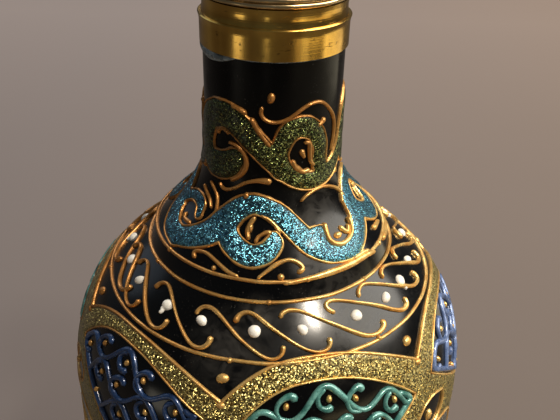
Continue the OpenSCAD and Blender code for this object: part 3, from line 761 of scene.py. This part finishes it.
FLARE_WAVE = [(0, 67), (10, 64), (19, 60), (25, 55.7), (31, 51), (39, 48), (47, 47.4), (60, 49.6), (69, 54), (79, 61),
              (87, 64.8), (94, 66.4), (103, 67)]
FLARE_CURL = [(0, 67), (-12, 66), (-20, 62.5), (-21, 57.5), (-12, 53), (0, 53), (4.5, 57)]
FLARE_HOOK = [(27, 56), (34, 61), (44.4, 64.2), (53, 63.2), (58, 60), (58.5, 57.6)]
FLARE_TURNS = [(-56, 1.0, True), (47, 0.832, False), (132.7, 0.832, True), (218.3, 0.832, False)]
# Where the wave's end meets the next wave: a stub, and a bay with a drop and a hook in it
FLARE_STUB = [(15, 58.4), (19, 56.6), (22.6, 56.2), (26.6, 55.8), (32, 55.8), (34.4, 56.2), (35.4, 57.4), (39, 66), (30, 66),
              (20, 62)]
FLARE_BAY = [(35.6, 54), (34.6, 58.6), (34.4, 61.6), (36.6, 63.6), (41, 64.7), (46.6, 64.4), (52, 62.9), (56.4, 60.6),
             (59.5, 57.4), (60.2, 53.5), (59, 49), (38, 49)]
# Gold strokes beside the wave: (points, width, height)
FLARE_GOLD = [
    ([(-62.4, 47.2), (-49.8, 50.2), (-44.1, 53)], 1.4, 1.0),
    ([(-54.9, 44.5), (-43.7, 47.9), (-39.8, 52.5), (-41.2, 54.1)], (1.3, 1.5, 1.3), 1.0),
    ([(-9.8, 51.2), (-12.6, 53.4), (-13.8, 56.4), (-12.2, 59.2)], (1.5, 2.2, 2.2, 1.6), 1.3),
    ([(-7.2, 50.6), (-1.6, 51.8), (3.4, 54), (6.4, 56.8)], (1.4, 1.8, 1.6), 1.1),
    ([(-8.6, 60), (-6.6, 57.6), (-2, 56.2), (1.4, 56.6)], (1.4, 1.7, 2.2), 1.1),
    ([(-62.8, 59), (-60.9, 61), (-53.3, 61)], (1.5, 2.0), 1.1),
    ([(22.2, 46.8), (28.4, 45.1), (38.3, 44), (49.3, 44.7), (60.9, 47.7), (65, 51.8), (63.4, 56.5)],
     (1.3, 1.5, 1.4, 1.6, 1.4), 1.0),
    ([(36, 55.4), (34.9, 58.6), (34.7, 61.4), (36.8, 63.3), (41, 64.4), (46.6, 64.1), (51.6, 62.6), (54.6, 60.2), (55.6, 57.6)],
     (2.5, 2.6, 2.4, 2.1, 1.9, 1.6), 1.7),
    ([(45.8, 58.6), (47.2, 60.6), (49, 61.7), (51, 60.9), (52.3, 59.4)], (2.2, 1.9, 1.4), 1.2),
    ([(-37.7, 69.9), (-39.8, 68.6), (-38.2, 67.2), (-33.1, 66.8), (-26.2, 68.3), (-19.8, 70.3), (-13.7, 71.4)],
     (2.0, 1.5, 1.5, 1.7, 1.4), 1.1),
    ([(-5.5, 71.4), (-1.2, 68.8), (3.6, 66.4), (9.6, 65.2), (14.4, 66.6), (16, 68.6), (12.9, 69.7)],
     (1.4, 1.7, 1.7, 1.7, 2.4), 1.2),
    ([(6, 72.8), (19, 71.9), (30.3, 71.6), (41.6, 71.6), (51.9, 71.9), (59, 73)], (1.6, 2.2, 2.6, 2.8, 2.2), 1.3),
    ([(43, 70.6), (50, 70.5), (55.6, 71.3)], (1.4, 2.2, 1.8), 1.2)]
FLARE_DROPS = [(-18.6, 45, 2.3, 2.6), (42, 61.2, 3.6, 2.4), (-26.4, 70.5, 1.6, 1.8), (5.3, 70.6, 2.4, 2.2),
               (-12.4, 55.2, 1.6, 3.4)]


def flare_wave(step):
    field = Field(40, 72, step)
    for first, share, curled in FLARE_TURNS:
        field.band(squeezed(FLARE_WAVE, 0, first, share), (7, 8, 9.5, 10, 8, 7, 6.6, 6.6, 7, 8, 7.5, 7, 7))
        if curled:
            field.band(squeezed(FLARE_CURL, 0, first, share), (6.5, 5.5, 4.6, 4.2, 4.0, 4.4, 3.0))
        field.band(squeezed(FLARE_HOOK, 0, first, share), (7, 7.4, 7.6, 7.2, 6, 3.4))
    for base, share in ((-56, 1.0), (132.7, 0.832)):
        cut(field, np.array(squeezed(FLARE_STUB, -56, base, share)), keep=True)
        cut(field, np.array(squeezed(FLARE_BAY, -56, base, share)))
    return field


flare_wave(0.34).fill("flare_wave_glitter", BLUE, "blue_glitter", height=1.1)
flare_wave(0.22).edge("flare_wave_edge", GOLD, "gold_paste", width=0.95, height=0.85)
for base, share in ((-56, 1.0), (132.7, 0.832)):
    for points, width, height in FLARE_GOLD:
        gold.curve(squeezed(points, -56, base, share), width=0.88*np.array(width), height=0.9*height, steady=0.08)
    for a, s, wide, tall in FLARE_DROPS:
        gold.blob(base + share*(a + 56), s, wide, tall, 1.2)
gold.curve([(69.5, 67.9), (74, 68.2), (80, 68.8)], width=(2.4, 1.6), height=1.2)
gold.curve([(71, 73.4), (79, 73.2), (88, 72.4)], width=(2.6, 1.5), height=1.2)
gold.piece("scroll_line_work", GOLD, "gold_paste")
gold = Strokes()

# --- the strapwork: six shields under arches, leaves at the forks, and six cells below ---
FORK, CORNER, TIP = -12.0, 26.0, 144.0


def hang(middle):
    """How a shield hangs: its crest's distance down the outline, and how much lower its right corner is than its
    left one. Two kinds stand by turns."""
    return (104.0, 2.0) if round((middle - 18)/60) % 2 == 0 else (104.9, -2.0)


def arch(x, low):
    """Distance down the outline of a shield's arched top, x degrees from its middle: the power 2.4 of the
    distance from the crest, which lies a little to the left. low is what hang gives."""
    x = np.asarray(x)/CORNER
    crest, lean = low
    return crest + (119.0 - crest)*np.abs(x + 0.15*(1 - x*x))**2.4 + lean*np.clip(x, 0, 1)**5


def strap_top(theta):
    """Upper edge of the straps: six arches that meet in forks, shaped as the shields' tops are."""
    k = np.round((theta - 18)/60)
    x = (theta - 18 - 60*k)/30
    crest = 98.4 + np.where(k % 2 == 0, -1.8, 1.8)
    return crest + (110.8 - crest)*np.abs(x + 0.14*(1 - x*x))**2.4


def room(x, s, low):
    """How far in mm a point is inside a shield: the smaller of its distances from the arched top and from the
    straight sides, negative outside. x is in degrees from the shield's middle."""
    corner = arch(np.where(np.asarray(x) > 0, CORNER, -CORNER), low)
    side = (TIP - s - np.abs(x)*(TIP - corner)/CORNER)/1.3
    return np.where(np.abs(x) < CORNER + 1, np.minimum(s - arch(x, low), side), -9.0)


def shield(middle):
    """Closed outline of a shield: an arched top, two corners, and sides that run straight to a point below."""
    x, low = np.linspace(-CORNER, CORNER, 61), hang(middle)
    half = np.linspace(1, 0, 25)[1:]
    right, left = (np.stack([end*half, TIP + (arch(end, low) - TIP)*half], 1) for end in (CORNER, -CORNER))
    return np.concatenate([np.stack([x, arch(x, low)], 1), right, left[::-1][1:]]) + [middle, 0]


# Cells below: (half width in degrees, distance down) from the crest to the point over the foot border
CELL = [(0, 141), (9, 142.5), (16, 147), (20.5, 155), (22, 166), (20.5, 178), (15.5, 190), (8, 199), (0, 204.5)]


def cell(middle, share=1.0):
    """Closed outline of a lower cell, its half outline mirrored; share shrinks it about its middle."""
    half = spline(CELL, 60)
    outline = np.concatenate([half, half[::-1][1:-1]*[-1, 1]])
    return (outline - [0, 172])*share + [middle, 172]


LEAF = np.array([(9.3, 130), (4.5, 127.9), (0.6, 127.9), (-2.4, 129.9), (-5, 134), (-6.4, 139), (-6.6, 144.5), (-2.5, 143.6),
                 (3, 141), (7.2, 138), (9.4, 134), (9.3, 130)])


straps = Field(96.5, 207, 0.75)
slope = np.gradient(strap_top(straps.theta), np.radians(straps.theta))[:, None]/straps.r
straps.d = np.maximum((strap_top(straps.th) - straps.sv)/np.sqrt(1 + slope**2), straps.sv - 206)
silver = Field(139, 206, 0.75)
th = np.linspace(-180, 180.5, 1443)
gold.add(th, strap_top(th), width=1.25, height=1.0, steady=0.15)
for k in range(6):
    middle, fork = 18 + 60*(k - 3), FORK + 60*(k - 3)
    x = straps.th + np.round((middle - straps.th)/360)*360 - middle
    straps.d = np.maximum(straps.d, room(x, straps.sv, hang(middle)))
    outline = shield(middle)
    gold.add(*np.concatenate([outline, outline[:3]]).T, width=0.9, height=0.8, steady=0.1)
    gold.blob(fork, strap_top(fork) + 0.9, 3.6, 2.4, 1.3, rough=0.15)
    leaf = spline(LEAF + [fork, 0], 60)
    cut(straps, leaf)
    gold.add(*np.concatenate([leaf, leaf[:3]]).T, width=0.95, height=0.85, steady=0.1)
    gold.blob(fork + 1, 133.9, 3.0, 4.2, 1.2, turn=35)
    gold.blob(fork - 2.5, 139, 2.0, 2.6, 1.0, turn=35)
    below = cell(fork)
    cut(straps, below)
    gold.add(*np.concatenate([below, below[:3]]).T, width=1.3, height=1.0, steady=0.1)
    cut(silver, cell(fork, 0.97), keep=True)
    cut(silver, cell(fork, 0.66))
    inner = cell(fork, 0.66)
    gold.add(*np.concatenate([inner, inner[:3]]).T, width=1.1, height=0.9, steady=0.1)
    # Inside the cell: a stem with four pairs of curls, and white drops
    gold.curve([(fork, 189), (fork + 0.6, 178), (fork - 0.4, 166), (fork, 156)], width=(1.6, 1.3, 2.2), height=1.0)
    for side in (-1, 1):
        for s, reach in ((183, 5.5), (174.5, 7.5), (165.5, 7.5)):
            gold.curve([(fork, s), (fork + side*reach*0.6, s - 3.2), (fork + side*reach, s - 6.4),
                        (fork + side*reach*0.7, s - 9), (fork + side*reach*0.4, s - 7.2)],
                       width=(1.3, 1.4, 1.4, 2.2), height=1.0)
            white.blob(fork + side*reach*0.62, s + 1.4, 2.2, 2.2, 1.0, n=14, m=5)
    white.blob(fork, 151.6, 3.2, 3.6, 1.2)
    # Over the foot border, between the cells
    gold.blob(middle, 152, 2.6, 4.4, 1.2)
    gold.blob(fork - 0.6, 103.6, 4.2, 3.2, 1.2, turn=-15)
straps.fill("strap_glitter", SPARK, "gold_glitter", height=0.7, soft=1.2)
silver.fill("cell_glitter", SILVER, "silver_glitter", height=0.6, soft=1.2)

# --- relief vines inside the shields ---

VINE_HOOK = [(-0.3, 0), (-3.3, -1.2), (-4, -4.3), (-2.4, -6.8), (-0.1, -7.7), (1.4, -6)]
VINE_FALL = [(0, 0.6), (-2.3, 2.8), (-2.4, 5.4), (-0.8, 7.2), (1.6, 6.9)]
PERIOD = 19.2


def vine_rows(paste_of, middle, slip, pitch, rows=4):
    """Rows of a running vine that follow the arch. A row lies 6.3 mm under the arch, less a cosine wave 4.2 mm
    high with a crest each 19.2 degrees; each next row is pitch mm lower and slips back by slip degrees. From every
    trough a hook curls back up, from every crest one falls, and each holds a gold dot."""
    x, low = np.linspace(-24, 24, 241), hang(middle)
    for row in range(rows):
        shift = 1.7 + row*slip
        s = arch(x, low) + 6.3 + pitch*row - 4.2*np.cos(2*np.pi*(x + shift)/PERIOD)
        kept = np.where(room(x, s, low) > 1.2)[0]
        if len(kept) > 6:
            paste_of.add(middle + x[kept], s[kept], width=(1.7, 2.2, 1.8, 2.4, 1.7, 2.1, 1.8), height=1.15,
                         steady=0.25, across=8, gap=0.6)
        for k in range(-2, 3):
            crest = k*PERIOD - shift
            trough = crest + PERIOD/2
            for at, extra, points, dot in ((trough, 10.6, VINE_HOOK, (-1.5, -4.6)), (crest, 2.0, VINE_FALL, (0.6, 4.1))):
                foot = arch(at, low) + extra + pitch*row
                hook = np.array(points) + [at, foot]
                if abs(at) < CORNER - 2 and (room(*hook.T, low) > 1.0).all():
                    paste_of.curve(hook + [middle, 0], width=(1.6, 1.7, 1.9, 2.9), height=1.15, across=8, gap=0.6)
                a, s = at + dot[0], foot + dot[1]
                if room(a, s, low) > 2.0:
                    gold.blob(middle + a, s, 2.0, 2.6, 1.15, turn=25*math.sin(7*at), n=12, m=5)


def vine_hem(paste_of, middle):
    """A line along the inside of the shield's corners and straight sides, 2 mm in."""
    low, half = hang(middle), np.linspace(1, 0, 20)
    sides = []
    for way in (-1, 1):
        start = np.array([[way*x, arch(way*x, low) + below] for x, below in ((CORNER - 6, 2.6), (CORNER - 3.6, 2.2))])
        fall = TIP - 3 + (arch(way*CORNER, low) - TIP + 3)*half
        sides.append(np.concatenate([start, np.stack([way*(CORNER - 2.2)*half, fall], 1)]))
    path = np.concatenate([sides[0], sides[1][::-1]])
    paste_of.add(*(spline(path, 240) + [middle, 0]).T, width=(1.9, 2.3, 2.0, 2.3, 1.9), height=1.1, steady=0.2, across=8,
                 gap=0.6)


for k, colour in enumerate(("navy", "mint", "violet", "mint", "navy", "mint")):
    vine_rows(enamels[colour], -42 + 60*k, *((4.6, 9.7) if colour == "mint" else (8.8, 9.0)))
    vine_hem(enamels[colour], -42 + 60*k)
enamels["navy"].piece("navy_vines", NAVY, "navy_enamel")
enamels["mint"].piece("mint_vines", MINT, "mint_enamel")
enamels["violet"].piece("violet_vines", VIOLET, "violet_enamel")

# --- the foot border, like the shoulder's ---

foot_n = 27
upper, gold = gold, Strokes()
for k in range(foot_n):
    a = 360*k/foot_n
    s_stroke(a, S_FOOT_TOP + 3.2 + 0.5*math.sin(2.3*k), 31 + math.sin(1.7*k), 12.6)
    white.blob(a + 6.2, S_FOOT_TOP + 7.6, 4.0, 3.6, 1.2, turn=40*math.sin(1.9*k), n=16, m=6)

foot, gold = gold, upper
ring(S_DISC, 1.3, 0.85)
ring(S_STEP, 1.3, 0.85, 100)
ring(S_BORDER, 1.3, 0.85, -120)
gold.piece("gold_line_work", GOLD, "gold_paste", replaces=("disc_line", "step_line", "border_line", "gold_dots"))
gold = foot
ring(S_FOOT_TOP, 1.5, 0.9, -150)
ring(S_FOOT_LOW, 1.5, 0.9, -30)
gold.piece("foot_line_work", GOLD, "gold_paste", replaces=("foot_lines",))
white.piece("white_drops", WHITE, "white_paste", replaces=("white_dots",))

# Cement squeezed out under the collar at the left
bead = Strokes()
bead.curve([(-97, 0.2), (-84, 0.7), (-70, 1.1), (-56, 1.5), (-44, 1.3), (-33, 0.5), (-29, 0)],
           width=(0.8, 2.2, 3.0, 3.6, 3.2, 1.8, 0.8), height=(0.5, 0.8, 0.9, 1.0, 0.9, 0.7, 0.4), across=13, steady=0.15)
bead.piece("cement_bead", CEMENT, "clear_cement")

# --- stage, light and camera ---


def floor_finish():
    """A plain pale floor, a little mottled. What the camera sees of it is mostly a calm taupe glow with painted light,
    darker near the front and warmer to the right, and what reflections see is a darker glow, a painted dark
    reflection; the rest takes light and shadow as paint does."""
    f = Finish("floor", Roughness=0.85)
    mottle = f.cloud(3.5, 3, 0.3, 0.7)
    f.to(Base_Color=f.mix(mottle, (0.48, 0.44, 0.40), (0.54, 0.49, 0.45)))
    split = f.node("SeparateXYZ")
    f.plug(f.place, split.inputs[0])
    far = f.ranged(split.outputs[1], -0.15, 0.9)
    # Painted light on the backdrop: its glow gets brighter farther back and warmer to the right.
    warm = f.ranged(split.outputs[0], -0.25, 0.6)
    shade = f.mix(far, f.mix(warm, (0.125, 0.103, 0.095), (0.190, 0.130, 0.088)),
                  f.mix(warm, (0.30, 0.243, 0.217), (0.37, 0.268, 0.205)))
    glow = f.node("Emission")
    ray = f.node("LightPath")
    mirrored, passed = ray.outputs["Is Glossy Ray"], ray.outputs["Is Transmission Ray"]
    # Reflections see a darker glow: a painted dark reflection.
    f.plug(f.mix(f.math("MAXIMUM", mirrored, passed), shade, (0.060, 0.049, 0.042)), glow.inputs["Color"])
    seen = f.math("MAXIMUM", ray.outputs["Is Camera Ray"], f.math("MAXIMUM", passed, mirrored))
    blend = f.node("MixShader")
    f.plug(f.math("MULTIPLY", seen, 0.92), blend.inputs[0])
    f.plug(f.shader.outputs[0], blend.inputs[1])
    f.plug(glow.outputs[0], blend.inputs[2])
    f.plug(blend.outputs[0], f.tree.nodes["Material Output"].inputs["Surface"])
    return f.mat


def floor(size, z):
    mesh = bpy.data.meshes.new("floor")
    mesh.from_pydata([(-size, -size, z), (size, -size, z), (size, size, z), (-size, size, z)], [], [(0, 1, 2, 3)])
    mesh.materials.append(floor_finish())
    obj = bpy.data.objects.new("floor", mesh)
    bpy.context.scene.collection.objects.link(obj)


floor(6.0, -0.0002)


def lamp(name, azimuth, elevation, distance, size, level, colour, aim=0.20, tall=0.0):
    """A soft lamp that looks at the axis at height aim. azimuth is in degrees from the front towards the right.
    level is how bright a white surface that faces it gets, or, where tall is given, how bright the lamp itself is."""
    data = bpy.data.lights.new(name, "AREA")
    data.shape, data.size = ("RECTANGLE", size) if tall else ("DISK", size)
    if tall:
        data.size_y = tall
        data.energy = level*math.pi*size*tall
    else:
        data.energy = level*math.pi**2*distance**2
    data.color = colour
    obj = bpy.data.objects.new(name, data)
    bpy.context.scene.collection.objects.link(obj)
    a, e = math.radians(azimuth), math.radians(elevation)
    away = Vector((math.sin(a)*math.cos(e), -math.cos(a)*math.cos(e), math.sin(e)))
    obj.location = Vector((0, 0, aim)) + away*distance
    obj.rotation_mode = "QUATERNION"
    obj.rotation_quaternion = (-away).to_track_quat("-Z", "Y")
    obj.visible_camera = False


lamp("main_lamp", 51, 58.5, 1.3, 0.14, 0.80, (1.0, 0.90, 0.76))
lamp("front_card", 58, 29, 1.0, 0.75, 1.1, (1.0, 0.88, 0.66), aim=0.245, tall=0.24)
lamp("second_lamp", 95, 42, 1.3, 1.15, 1.10, (1.0, 0.94, 0.84))
lamp("left_fill", -125, 26, 1.4, 0.9, 0.05, (0.70, 0.83, 1.0))
lamp("back_fill", 190, 42, 1.4, 0.7, 0.25, (1.0, 0.95, 0.88))
lamp("right_card", 101, -18.9, 0.58, 0.46, 1.25, (1.0, 0.88, 0.62), aim=0.245, tall=0.095)
lamp("middle_strip", 41, -17.6, 0.58, 0.20, 0.33, (1.0, 0.88, 0.66), aim=0.245, tall=0.085)
lamp("recess_card", 62, -12.4, 0.58, 0.78, 1.5, (1.0, 0.80, 0.42), aim=0.245, tall=0.05)
lamp("left_strip", -54, -16.2, 0.58, 0.13, 1.5, (1.0, 0.92, 0.75), aim=0.245, tall=0.105)
lamp("front_strip", -11, -16.2, 0.58, 0.04, 0.8, (1.0, 0.92, 0.75), aim=0.245, tall=0.105)
world = bpy.data.worlds.new("world")
bpy.context.scene.world = world
world.use_nodes = True
world.node_tree.nodes["Background"].inputs[0].default_value = (0.92, 0.96, 1.0, 1)
world.node_tree.nodes["Background"].inputs[1].default_value = 0.07

PITCH, ROLL, YAW = 0.5392, -0.0294, 0.0150
fwd = Vector((math.sin(YAW)*math.cos(PITCH), math.cos(YAW)*math.cos(PITCH), -math.sin(PITCH)))
right = Vector((math.cos(YAW), -math.sin(YAW), 0))
low = fwd.cross(right)
right, low = math.cos(ROLL)*right + math.sin(ROLL)*low, -math.sin(ROLL)*right + math.cos(ROLL)*low
cam_data = bpy.data.cameras.new("camera")
cam_data.sensor_width = 36
cam_data.lens = 678.2/560*36
cam_data.clip_start = 0.01
cam = bpy.data.objects.new("camera", cam_data)
bpy.context.scene.collection.objects.link(cam)
m = Matrix((right, -low, -fwd)).transposed().to_4x4()
m.translation = Vector((0.24, -213.94, 64.22 + Z_SEAT))*MM
cam.matrix_world = m
bpy.context.scene.camera = cam
bpy.context.scene.view_settings.view_transform = "Standard"
